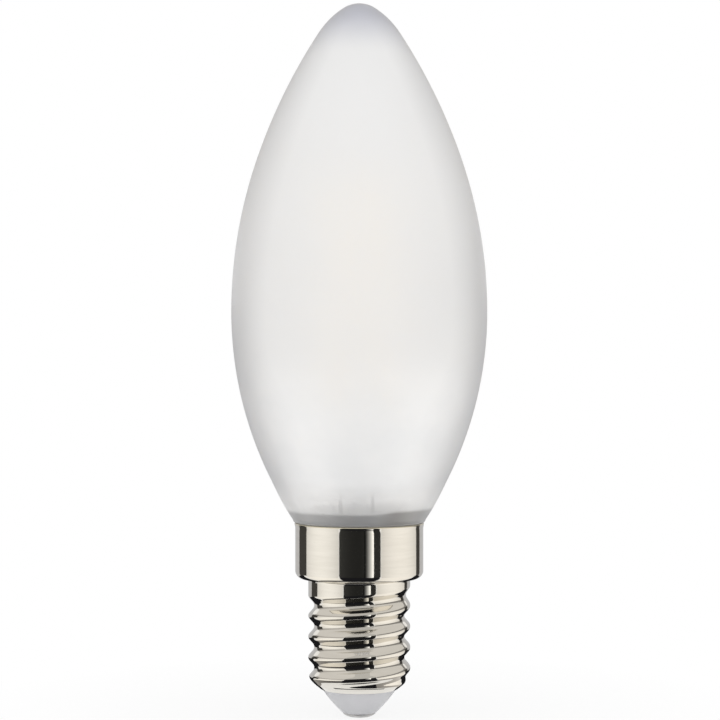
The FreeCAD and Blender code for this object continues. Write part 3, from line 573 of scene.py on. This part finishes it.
def uneven_surface():
    """Patches of two near tones with a fine grain, both of which may be drawn out along or round the axis."""
    group, given, out = effect(
        "uneven_surface",
        {
            "Main Tone": (0.8, 0.8, 0.8, 1.0),
            "Patch Tone": (0.7, 0.7, 0.7, 1.0),
            "Patch Size": 0.004,
            "Grain Size": 0.0003,
            "Stretch": 1.0,
            "Smoothest": 0.3,
            "Roughest": 0.5,
        },
        {"Color": "NodeSocketColor", "Roughness": "NodeSocketFloat", "Grain": "NodeSocketFloat"},
    )
    work = sums(group)
    place = group.nodes.new("ShaderNodeTexCoord").outputs["Object"]
    drawn = add(group, "ShaderNodeCombineXYZ", {"X": 1.0, "Y": 1.0, "Z": given["Stretch"]}).outputs[0]
    spot = add(group, "ShaderNodeVectorMath", {0: place, 1: drawn}, operation="MULTIPLY").outputs[0]
    patch_scale = work("DIVIDE", 1.0, given["Patch Size"])
    grain_scale = work("DIVIDE", 1.0, given["Grain Size"])
    coarse = {"Vector": spot, "Scale": patch_scale, "Detail": PATCH_DETAIL}
    fine = {"Vector": spot, "Scale": grain_scale, "Detail": GRAIN_DETAIL}
    share = ramped(group, add(group, "ShaderNodeTexNoise", coarse).outputs[0], PATCH_BAND)
    grain = add(group, "ShaderNodeTexNoise", fine).outputs[0]
    tone = add(
        group,
        "ShaderNodeMix",
        {0: share, 6: given["Main Tone"], 7: given["Patch Tone"]},
        data_type="RGBA",
    ).outputs[2]
    blend = work("MULTIPLY_ADD", grain, GRAIN_SHARE, work("MULTIPLY", share, 1 - GRAIN_SHARE))
    rough = ramped(group, blend, (0.0, 1.0), (given["Smoothest"], given["Roughest"]))
    for socket, value in (("Color", tone), ("Roughness", rough), ("Grain", grain)):
        group.links.new(value, out[socket])
    return group


def height_share():
    """0 below one height of the lamp and 1 above another, with a smooth step between."""
    group, given, out = effect("height_share", {"From": 0.0, "To": 0.01}, {"Share": "NodeSocketFloat"})
    place = group.nodes.new("ShaderNodeTexCoord").outputs["Object"]
    height = add(group, "ShaderNodeSeparateXYZ", {0: place}).outputs["Z"]
    group.links.new(ramped(group, height, (given["From"], given["To"]), smooth=True), out["Share"])
    return group


def placed(tree, group, **values):
    """A shared effect placed in a material, with its values given by their names in small letters."""
    node = tree.nodes.new("ShaderNodeGroup")
    node.node_tree = group
    for name, value in values.items():
        node.inputs[name.replace("_", " ").title()].default_value = value
    return node.outputs


def height_band(tree, band):
    """The share from 0 to 1 over a band of the lamp's height."""
    return placed(tree, height_effect, **{"from": band[0] * MM, "to": band[1] * MM})["Share"]


def tone(red, green, blue):
    """An opaque colour."""
    return (red, green, blue, 1.0)


def mixed(tree, share, first, second):
    """One colour that turns into another by a share."""
    return add(tree, "ShaderNodeMix", {0: share, 6: first, 7: second}, data_type="RGBA").outputs[2]


def finish(name, grain_depth=0.0, plain=None, **surface):
    """A material: one Principled shader with plain values on its own sockets, and the uneven surface."""
    material = bpy.data.materials.new(name)
    material.use_nodes = True
    tree = material.node_tree
    shader = tree.nodes["Principled BSDF"]
    for socket, value in (plain or {}).items():
        shader.inputs[socket].default_value = value
    made = placed(tree, surface_effect, **surface)
    tree.links.new(made["Color"], shader.inputs["Base Color"])
    tree.links.new(made["Roughness"], shader.inputs["Roughness"])
    if grain_depth:
        bump = add(tree, "ShaderNodeBump", {"Height": made["Grain"], "Distance": grain_depth * MM})
        tree.links.new(bump.outputs["Normal"], shader.inputs["Normal"])
    return material, tree, shader, made


# Finishes, one for each material of the lamp

# Heights of the frosting: where it thickens above the neck, the band above which it takes a painted grey
# shade, and the painted shade of the tip, greyer and cooler
FROSTING_THICKENS = (28.5, 33)
UPPER_SHADE_BAND = (40, 51)
TIP_SHADE_BAND = (89, 96.5)

# The painted shade above the collar: where it ends, and how much higher it stands past a place on the right
NECK_SHADE_ENDS = (27.8, 28.45)
NECK_SHADE_SIDE = (2, 5)
NECK_SHADE_RISE = 0.35

# Edge on, the frosting takes a painted shade from here on: where below the belly, how much later above it,
# where the shade is deepest and how deep, and the band over which the frosting hides what is behind it
EDGE_SHADE_FROM = 0.2
EDGE_SHADE_LATER = 0.12
EDGE_SHADE_TO = 0.9
EDGE_SHADE_MOST = 0.6
HIDES_BAND = (0.3, 0.7)

# How much the frosting covers where it is thinnest and in the painted neck shade, and the light that the
# walls let in
THIN_COVER = 0.5
NECK_SHADE_COVER = 0.78
FROSTING_LETS_IN = 0.6
INNER_WALL_LETS_IN = 0.95

# The cap's bare cut rim
RIM_BAND = (26.12, 26.3)


def lit_through(tree, cover, share):
    """Alpha of a wall that the camera sees at its full cover, and that lets a share of the light in."""
    work = sums(tree)
    path = tree.nodes.new("ShaderNodeLightPath").outputs
    inward = work("MULTIPLY", work("MAXIMUM", path["Is Shadow Ray"], path["Is Diffuse Ray"]), share)
    return work("MULTIPLY", cover, work("SUBTRACT", 1.0, inward))


def frosted_glass():
    """White frosting with painted shade: greyer above the belly, greyer and cooler at the drawn tip, darker
    edge on, and thin with painted grey shade above the collar.
    """
    material, tree, shader, made = finish(
        "frosted_glass",
        grain_depth=0.004,
        plain={
            "Transmission Weight": 0.35,
            "IOR": 1.5,
            "Coat Weight": 1.0,
            "Coat Roughness": 0.35,
            "Coat IOR": 1.5,
        },
        main_tone=tone(0.98, 0.98, 0.98),
        patch_tone=tone(0.93, 0.935, 0.94),
        patch_size=6 * MM,
        grain_size=0.12 * MM,
        smoothest=0.5,
        roughest=0.6,
    )
    # Painted shade: over this band the glass turns greyer, and stays greyer above it
    belly = height_band(tree, UPPER_SHADE_BAND)
    upper_shaded = mixed(tree, belly, made["Color"], tone(0.88, 0.88, 0.88))
    # Painted shade at the drawn tip: greyer and a little cooler
    tip_shaded = mixed(tree, height_band(tree, TIP_SHADE_BAND), upper_shaded, tone(0.54, 0.55, 0.62))
    # Painted shade edge on: the frosting is darkened towards its outline
    edge_on = add(tree, "ShaderNodeLayerWeight", {"Blend": 0.5}).outputs["Facing"]
    shade_onset = sums(tree)("MULTIPLY_ADD", belly, EDGE_SHADE_LATER, EDGE_SHADE_FROM)
    edge_shade_share = ramped(tree, edge_on, (shade_onset, EDGE_SHADE_TO), (0.0, EDGE_SHADE_MOST))
    edge_shaded = mixed(tree, edge_shade_share, tip_shaded, tone(0.35, 0.35, 0.37))
    frosting = height_band(tree, FROSTING_THICKENS)
    thin = mixed(tree, frosting, tone(0.87, 0.87, 0.87), edge_shaded)
    # Painted shade above the collar: grey, darker and standing higher to the right, and a paler grey edge on
    place = tree.nodes.new("ShaderNodeTexCoord").outputs["Object"]
    spot = add(tree, "ShaderNodeSeparateXYZ", {0: place}).outputs
    right = ramped(tree, spot["X"], [x * MM for x in NECK_SHADE_SIDE], smooth=True)
    height = sums(tree)("MULTIPLY_ADD", right, -NECK_SHADE_RISE * MM, spot["Z"])
    above_neck_shade = ramped(tree, height, [z * MM for z in NECK_SHADE_ENDS], smooth=True)
    hides = ramped(tree, edge_on, HIDES_BAND)
    neck_shade = mixed(tree, right, tone(0.36, 0.36, 0.365), tone(0.24, 0.235, 0.23))
    neck_shade = mixed(tree, hides, neck_shade, tone(0.50, 0.50, 0.50))
    tree.links.new(mixed(tree, above_neck_shade, neck_shade, thin), shader.inputs["Base Color"])
    upper = ramped(tree, frosting, (0.0, 1.0), (THIN_COVER, 1.0))
    cover = add(tree, "ShaderNodeMix", {0: above_neck_shade, 2: NECK_SHADE_COVER, 3: upper}).outputs[0]
    cover = add(tree, "ShaderNodeMix", {0: hides, 2: cover, 3: 1.0}).outputs[0]
    tree.links.new(lit_through(tree, cover, FROSTING_LETS_IN), shader.inputs["Alpha"])
    return material


def bare_inside():
    """The envelope's inner wall, clear and a little uneven from the blowing."""
    material, tree, shader, _ = finish(
        "bare_inside",
        grain_depth=0.002,
        plain={"Transmission Weight": 1.0, "IOR": 1.5},
        main_tone=tone(0.99, 0.99, 0.99),
        patch_tone=tone(0.97, 0.98, 0.98),
        patch_size=5 * MM,
        grain_size=1.2 * MM,
        smoothest=0.0,
        roughest=0.03,
    )
    tree.links.new(lit_through(tree, 1.0, INNER_WALL_LETS_IN), shader.inputs["Alpha"])
    return material


def clear_glass():
    """Drawn glass of the stem and post, with faint cords in it."""
    return finish(
        "clear_glass",
        grain_depth=0.01,
        plain={"Transmission Weight": 0.9, "IOR": 1.52},
        main_tone=tone(0.70, 0.72, 0.72),
        patch_tone=tone(0.62, 0.64, 0.64),
        patch_size=3 * MM,
        grain_size=0.8 * MM,
        stretch=0.2,
        smoothest=0.03,
        roughest=0.08,
    )[0]


def nickel_plate():
    """Bright plated sheet with the faint lines of drawing and rolling, bare and brassy at its cut rim."""
    material, tree, shader, made = finish(
        "nickel_plate",
        grain_depth=0.0004,
        plain={"Metallic": 1.0},
        main_tone=tone(0.80, 0.77, 0.71),
        patch_tone=tone(0.76, 0.73, 0.67),
        patch_size=5 * MM,
        grain_size=0.9 * MM,
        stretch=9.0,
        smoothest=0.03,
        roughest=0.08,
    )
    cut = mixed(tree, height_band(tree, RIM_BAND), made["Color"], tone(0.80, 0.75, 0.60))
    tree.links.new(cut, shader.inputs["Base Color"])
    return material


def tinned_contact():
    """Dull tinned contact with soft wiping marks."""
    return finish(
        "tinned_contact",
        grain_depth=0.01,
        plain={"Metallic": 1.0},
        main_tone=tone(0.52, 0.51, 0.50),
        patch_tone=tone(0.42, 0.42, 0.42),
        patch_size=0.8 * MM,
        grain_size=0.15 * MM,
        smoothest=0.25,
        roughest=0.45,
    )[0]


def white_insulator():
    """Smooth white moulding, a little cool."""
    return finish(
        "white_insulator",
        grain_depth=0.004,
        plain={"Coat Weight": 0.2, "Coat Roughness": 0.3},
        main_tone=tone(0.655, 0.655, 0.675),
        patch_tone=tone(0.63, 0.63, 0.65),
        patch_size=2.5 * MM,
        grain_size=0.2 * MM,
        smoothest=0.35,
        roughest=0.5,
    )[0]


def grey_cement():
    """Baked cement with grit in it."""
    return finish(
        "grey_cement",
        grain_depth=0.05,
        main_tone=tone(0.50, 0.49, 0.47),
        patch_tone=tone(0.42, 0.41, 0.40),
        patch_size=0.7 * MM,
        grain_size=0.12 * MM,
        smoothest=0.75,
        roughest=0.95,
    )[0]


def drawn_wire():
    """Nickel-coated wire with lines along its length."""
    return finish(
        "drawn_wire",
        grain_depth=0.004,
        plain={"Metallic": 1.0},
        main_tone=tone(0.09, 0.085, 0.08),
        patch_tone=tone(0.06, 0.055, 0.055),
        patch_size=1.2 * MM,
        grain_size=0.08 * MM,
        stretch=0.1,
        smoothest=0.25,
        roughest=0.4,
    )[0]


def phosphor_coat():
    """Yellow coating of the filament strips, slightly pebbled, with a painted glow though the lamp is not
    lit.
    """
    return finish(
        "phosphor_coat",
        grain_depth=0.03,
        # The emission is a painted glow
        plain={"Emission Color": tone(1.0, 0.68, 0.16), "Emission Strength": 1.0},
        main_tone=tone(0.90, 0.62, 0.14),
        patch_tone=tone(0.84, 0.52, 0.09),
        patch_size=0.9 * MM,
        grain_size=0.2 * MM,
        smoothest=0.45,
        roughest=0.65,
    )[0]


def board_laminate():
    """Pale glass-fibre board with its weave showing as a fine grain."""
    return finish(
        "board_laminate",
        grain_depth=0.01,
        main_tone=tone(0.72, 0.74, 0.66),
        patch_tone=tone(0.66, 0.69, 0.59),
        patch_size=1.5 * MM,
        grain_size=0.25 * MM,
        smoothest=0.4,
        roughest=0.55,
    )[0]


def chip_resin():
    """Moulded black resin, satin."""
    return finish(
        "chip_resin",
        grain_depth=0.01,
        main_tone=tone(0.03, 0.03, 0.032),
        patch_tone=tone(0.045, 0.045, 0.047),
        patch_size=1.0 * MM,
        grain_size=0.08 * MM,
        smoothest=0.45,
        roughest=0.6,
    )[0]


def capacitor_sleeve():
    """Shrunk dark sleeve, glossy in patches."""
    return finish(
        "capacitor_sleeve",
        grain_depth=0.01,
        plain={"Coat Weight": 0.3},
        main_tone=tone(0.035, 0.04, 0.06),
        patch_tone=tone(0.05, 0.055, 0.075),
        patch_size=1.5 * MM,
        grain_size=0.3 * MM,
        smoothest=0.25,
        roughest=0.4,
    )[0]


def resistor_lacquer():
    """Matt green lacquer over a wound body."""
    return finish(
        "resistor_lacquer",
        grain_depth=0.02,
        main_tone=tone(0.20, 0.33, 0.24),
        patch_tone=tone(0.16, 0.28, 0.20),
        patch_size=0.8 * MM,
        grain_size=0.15 * MM,
        smoothest=0.5,
        roughest=0.7,
    )[0]


def fired_ceramic():
    """Tan fired body of the small chips."""
    return finish(
        "fired_ceramic",
        grain_depth=0.01,
        main_tone=tone(0.45, 0.36, 0.26),
        patch_tone=tone(0.38, 0.30, 0.21),
        patch_size=0.6 * MM,
        grain_size=0.08 * MM,
        smoothest=0.4,
        roughest=0.55,
    )[0]


def bright_solder():
    """Solder that froze with a slight dullness."""
    return finish(
        "bright_solder",
        grain_depth=0.01,
        plain={"Metallic": 1.0},
        main_tone=tone(0.72, 0.72, 0.72),
        patch_tone=tone(0.60, 0.60, 0.60),
        patch_size=0.5 * MM,
        grain_size=0.1 * MM,
        smoothest=0.2,
        roughest=0.4,
    )[0]


# Studio: camera, floor, room light, and the cards that the bright metal mirrors

def camera():
    """The photo's long lens, level with the middle of the lamp."""
    data = bpy.data.cameras.new("studio_camera")
    data.lens = LENS
    data.sensor_width = FILM_WIDTH
    data.clip_start = NEAREST_SEEN
    shot = bpy.data.objects.new("studio_camera", data)
    shot.location = CAMERA_PLACE
    shot.rotation_euler = (math.radians(90), 0, 0)
    bpy.context.scene.collection.objects.link(shot)
    bpy.context.scene.camera = shot


def seen_directly(tree):
    """1 for the camera, for reflections and through glass, and 0 for the light that falls on things."""
    work = sums(tree)
    path = tree.nodes.new("ShaderNodeLightPath").outputs
    mirrored = work("MAXIMUM", path["Is Glossy Ray"], path["Is Transmission Ray"])
    return work("MAXIMUM", path["Is Camera Ray"], mirrored)


def room_light():
    """A white room: brighter from the camera's side, dimmer from above, and plain white where it is seen."""
    world = bpy.data.worlds.new("studio_room")
    bpy.context.scene.world = world
    world.use_nodes = True
    tree = world.node_tree
    work = sums(tree)
    way = tree.nodes.new("ShaderNodeTexCoord").outputs["Generated"]
    split = add(tree, "ShaderNodeSeparateXYZ", {0: way}).outputs
    level = work("MULTIPLY_ADD", split["Y"], ROOM_TO_BACK, ROOM_LEVEL)
    level = work("MULTIPLY_ADD", split["Z"], ROOM_UPWARDS, level)
    seen = seen_directly(tree)
    strength = add(tree, "ShaderNodeMix", {0: seen, 2: level, 3: 1.0}).outputs[0]
    tree.links.new(strength, tree.nodes["Background"].inputs["Strength"])
    tree.nodes["Background"].inputs["Color"].default_value = (1, 1, 1, 1)


def staged(name, verts, faces, material):
    """A mesh of the studio, which isn't part of the lamp."""
    mesh = bpy.data.meshes.new(name)
    mesh.from_pydata([tuple(c * MM for c in v) for v in verts], [], faces)
    mesh.materials.append(material)
    piece = bpy.data.objects.new(name, mesh)
    bpy.context.scene.collection.objects.link(piece)
    return piece


def pale_floor():
    """Floor that keeps the lamp's shadow near it and turns to plain white further out."""
    material = bpy.data.materials.new("pale_floor")
    material.use_nodes = True
    tree = material.node_tree
    tree.nodes.clear()
    place = tree.nodes.new("ShaderNodeTexCoord").outputs["Object"]
    distance = add(tree, "ShaderNodeVectorMath", {0: place}, operation="LENGTH").outputs["Value"]
    far = ramped(tree, distance, (SHADOW_NEAR * MM, SHADOW_GONE * MM), (FLOOR_WHITENESS, 1.0))
    share = sums(tree)("MULTIPLY", seen_directly(tree), far)
    matt = add(tree, "ShaderNodeBsdfDiffuse", {"Color": tone(0.94, 0.94, 0.94)}).outputs[0]
    white = add(tree, "ShaderNodeEmission", {"Color": tone(1, 1, 1)}).outputs[0]
    both = add(tree, "ShaderNodeMixShader", {0: share, 1: matt, 2: white}).outputs[0]
    add(tree, "ShaderNodeOutputMaterial", {"Surface": both})
    corners = [(FLOOR_HALF * x, FLOOR_HALF * y, 0) for x, y in ((-1, -1), (1, -1), (1, 1), (-1, 1))]
    staged("pale_floor", corners, [(0, 1, 2, 3)], material)


# Places of the cards: distances from the lamp and heights
FLOOR_LIFT = 0.1
NEAR = 60
SHORT = 45
FAR = 160
GAP = 162
SOFTBOX_TOP = 28
FLAG_TOP = 60
GAP_TOP = 92
ROOM_TOP = 220
ROOM_MIDDLE = 1

# The cards' outlines as (distance, height) points
NEAR_WALL = [(NEAR, FLOOR_LIFT), (NEAR, SOFTBOX_TOP)]
FOOT_RING = [(6.0, FLOOR_LIFT), (7.2, FLOOR_LIFT)]
NEAR_FLOOR = [(8.4, FLOOR_LIFT), (NEAR, FLOOR_LIFT)]
LEFT_SHADE = [(8.8, FLOOR_LIFT), (17.5, FLOOR_LIFT)]
LEFT_FLOOR = [(17.5, FLOOR_LIFT), (SHORT, FLOOR_LIFT)]
RIGHT_SHADE = [(8.4, FLOOR_LIFT), (13.5, FLOOR_LIFT)]
RIGHT_FLOOR = [(13.5, FLOOR_LIFT), (SHORT, FLOOR_LIFT)]
SIDE_WALL = [(SHORT, FLOOR_LIFT), (FAR, FLOOR_LIFT), (FAR, SOFTBOX_TOP)]
SIDE_GAP = [(GAP, SOFTBOX_TOP), (GAP, GAP_TOP)]
FAR_WALL = [(NEAR, FLOOR_LIFT), (FAR, FLOOR_LIFT), (FAR, FLAG_TOP)]
CEILING = [(FAR, FLAG_TOP), (FAR, ROOM_TOP), (ROOM_MIDDLE, ROOM_TOP)]
HIGH_CEILING = [(FAR, GAP_TOP), (FAR, ROOM_TOP), (ROOM_MIDDLE, ROOM_TOP)]

# Each card: where it starts and ends round the lamp, in degrees to the right of the camera, its outline,
# its tone, how much its light falls off to its sides, and how much it rises to its right
CARD_STEP = 4
BLACK = (0.012, 0.012, 0.014)
DARK = (0.06, 0.057, 0.053)
CARDS = {
    "left_floor": (-109, -35, LEFT_FLOOR, (1.15, 1.12, 1.06), 0.15, 0.0),
    "left_softbox": (-107, -36, SIDE_WALL, (1.09, 1.07, 1.03), 0.27, 0.0),
    "left_gap": (-134, -36, SIDE_GAP, (0.50, 0.48, 0.46), 0.0, 0.0),
    "left_cap_shade": (-118, -33.5, LEFT_SHADE, (0.20, 0.19, 0.18), 0.0, -0.8),
    "foot_ring": (-60, 60, FOOT_RING, BLACK, 0.0, 0.0),
    "front_floor": (-33.5, 35.7, NEAR_FLOOR, BLACK, 0.0, 0.0),
    "front_flag": (-33.5, 8.5, NEAR_WALL, (0.022, 0.022, 0.021), -0.5, -0.45),
    "strip_lamp": (8.5, 24.0, NEAR_WALL, (0.40, 0.40, 0.39), -1.0, 2.0),
    "strip_flag": (24.0, 35.7, NEAR_WALL, (0.03, 0.03, 0.029), 0.0, 0.0),
    "right_floor": (38, 113, RIGHT_FLOOR, (1.15, 1.11, 1.05), 0.15, 0.0),
    "right_softbox": (38.4, 121, SIDE_WALL, (1.08, 1.05, 1.00), 0.27, 0.0),
    "right_gap": (38, 140, SIDE_GAP, (0.28, 0.27, 0.26), 0.0, 0.0),
    "right_cap_shade": (35.7, 118, RIGHT_SHADE, (0.48, 0.46, 0.44), 0.0, 0.4),
    "rear_floor": (118, 242, NEAR_FLOOR, BLACK, 0.0, 0.0),
    "right_rear_flag": (121, 136, FAR_WALL, DARK, 0.0, 0.0),
    "back_cloth": (136, 226, FAR_WALL, (0.56, 0.56, 0.57), 0.0, 0.0),
    "left_rear_flag": (226, 253, FAR_WALL, DARK, 0.0, 0.0),
    "front_ceiling": (-36, 38, CEILING, (0.58, 0.57, 0.55), 0.0, 0.0),
    "side_ceiling": (38, 324, HIGH_CEILING, (0.74, 0.72, 0.69), 0.0, 0.0),
}


def card_light(name, start, end, colour, falloff, lean):
    """A card's own light, which falls off to its sides and rises to its right."""
    material = bpy.data.materials.new(name)
    material.use_nodes = True
    tree = material.node_tree
    tree.nodes.clear()
    work = sums(tree)
    place = tree.nodes.new("ShaderNodeTexCoord").outputs["Object"]
    split = add(tree, "ShaderNodeSeparateXYZ", {0: place}).outputs
    middle = math.radians((start + end) / 2)
    half = math.radians((end - start) / 2)
    sine = math.sin(middle)
    cosine = math.cos(middle)
    across = work("MULTIPLY_ADD", split["X"], cosine, work("MULTIPLY", split["Y"], sine))
    along = work("MULTIPLY_ADD", split["X"], sine, work("MULTIPLY", split["Y"], -cosine))
    aside = work("DIVIDE", work("ARCTAN2", across, along), half)
    strength = work("SUBTRACT", 1.0, work("MULTIPLY", work("MULTIPLY", aside, aside), falloff))
    strength = work("MULTIPLY_ADD", aside, lean, strength)
    light = add(tree, "ShaderNodeEmission", {"Color": tone(*colour), "Strength": strength}).outputs[0]
    add(tree, "ShaderNodeOutputMaterial", {"Surface": light})
    return material


def studio_card(name, start, end, profile, colour, falloff, lean):
    """A curved card that stands round the lamp, seen only in reflections."""
    count = max(2, math.ceil((end - start) / CARD_STEP))
    verts = []
    for i in range(count + 1):
        azimuth = math.radians(start + (end - start) * i / count)
        verts += [(r * math.sin(azimuth), -r * math.cos(azimuth), z) for r, z in profile]
    rows = len(profile)
    faces = []
    for i in range(count):
        for j in range(rows - 1):
            a = i * rows + j
            faces.append((a, a + rows, a + rows + 1, a + 1))
    card = staged(name, verts, faces, card_light(name, start, end, colour, falloff, lean))
    card.visible_camera = False
    card.visible_diffuse = False
    card.visible_transmission = False
    card.visible_shadow = False


# Making the lamp

surface_effect = uneven_surface()
height_effect = height_share()
wall_tree = turned_wall_tree()

CARRIED_OVER = {
    clear_glass: ["glass_stem", "glass_post"],
    grey_cement: ["cement_ring"],
    drawn_wire: ["lead_wire_left", "lead_wire_right", "top_wire_back", "top_wire_front", "filament_tabs"],
    phosphor_coat: ["filament_1", "filament_2", "filament_3", "filament_4"],
    board_laminate: ["driver_board"],
    chip_resin: ["driver_chip", "bridge_rectifier"],
    capacitor_sleeve: ["smoothing_capacitor"],
    resistor_lacquer: ["fusible_resistor"],
    fired_ceramic: ["chip_capacitor", "chip_resistors"],
    bright_solder: ["solder_joints", "live_wire", "neutral_wire"],
}


def dress_inner_parts():
    """Gives each carried-over CAD node its own finish."""
    for make, names in CARRIED_OVER.items():
        material = make()
        for name in names:
            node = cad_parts[name]
            node.data.materials.clear()
            node.data.materials.append(material)


def turned_pieces():
    """The four turned walls, each in place of its CAD node."""
    blown_line = envelope_outline()
    cap_line, cap_marks = cap_outline()
    cone_line = insulator_outline()
    disc_line = contact_outline()
    envelope = turned_piece(
        "blown_envelope", "glass_envelope", blown_line, frosted_glass(), GLASS_COLUMNS
    )
    turned_piece("rolled_cap", "cap_shell", cap_line, nickel_plate(), CAP_COLUMNS, cap_marks)
    turned_piece(
        "moulded_insulator", "insulator", cone_line, white_insulator(), SMALL_COLUMNS
    )
    turned_piece(
        "domed_contact", "centre_contact", disc_line, tinned_contact(), SMALL_COLUMNS
    )
    envelope.data.materials.append(bare_inside())
    for face in envelope.data.polygons:
        outward = face.center.x * face.normal.x + face.center.y * face.normal.y
        if outward < 0:
            face.material_index = 1


dress_inner_parts()
turned_pieces()
pale_floor()
for card_name, card_sizes in CARDS.items():
    studio_card(card_name, *card_sizes)
room_light()
camera()
bpy.context.scene.view_settings.view_transform = "Standard"
